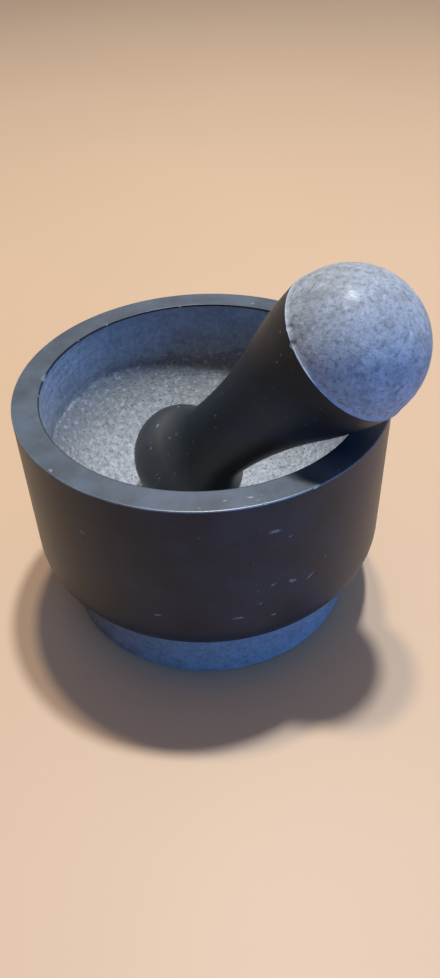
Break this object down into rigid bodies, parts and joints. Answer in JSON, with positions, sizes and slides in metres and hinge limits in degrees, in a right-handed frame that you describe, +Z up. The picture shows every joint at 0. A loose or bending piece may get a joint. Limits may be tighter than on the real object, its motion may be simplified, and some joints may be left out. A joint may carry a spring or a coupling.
{
  "type": "mortar and pestle",
  "caption": "Round stone mortar with a smooth dark outside and a rough ground bowl, with a stone pestle that leans in it and lifts out.",
  "frame": {"origin": "centre of the flat underside of the mortar's foot", "axes": "+Z up along the mortar's turning axis; the pestle leans over the rim between +X and -Y"},
  "size_m": [0.1549, 0.1506, 0.1636],
  "materials": {
    "mortar_stone": "honed and waxed to a satin black on the rim and outside, raw grey inside the bowl and on the foot",
    "pestle_stone": "honed and waxed to a satin black on the knob and shaft, raw grey on the domed head"
  },
  "bodies": {
    "mortar": {"mortar": "mortar_stone"},
    "pestle": {"pestle": "pestle_stone"}
  },
  "joints": [
    {"name": "pestle_lift", "type": "slide", "parent": "mortar", "child": "pestle", "axis": [0, 0, 1], "range_m": [0, 0.08]}
  ]
}
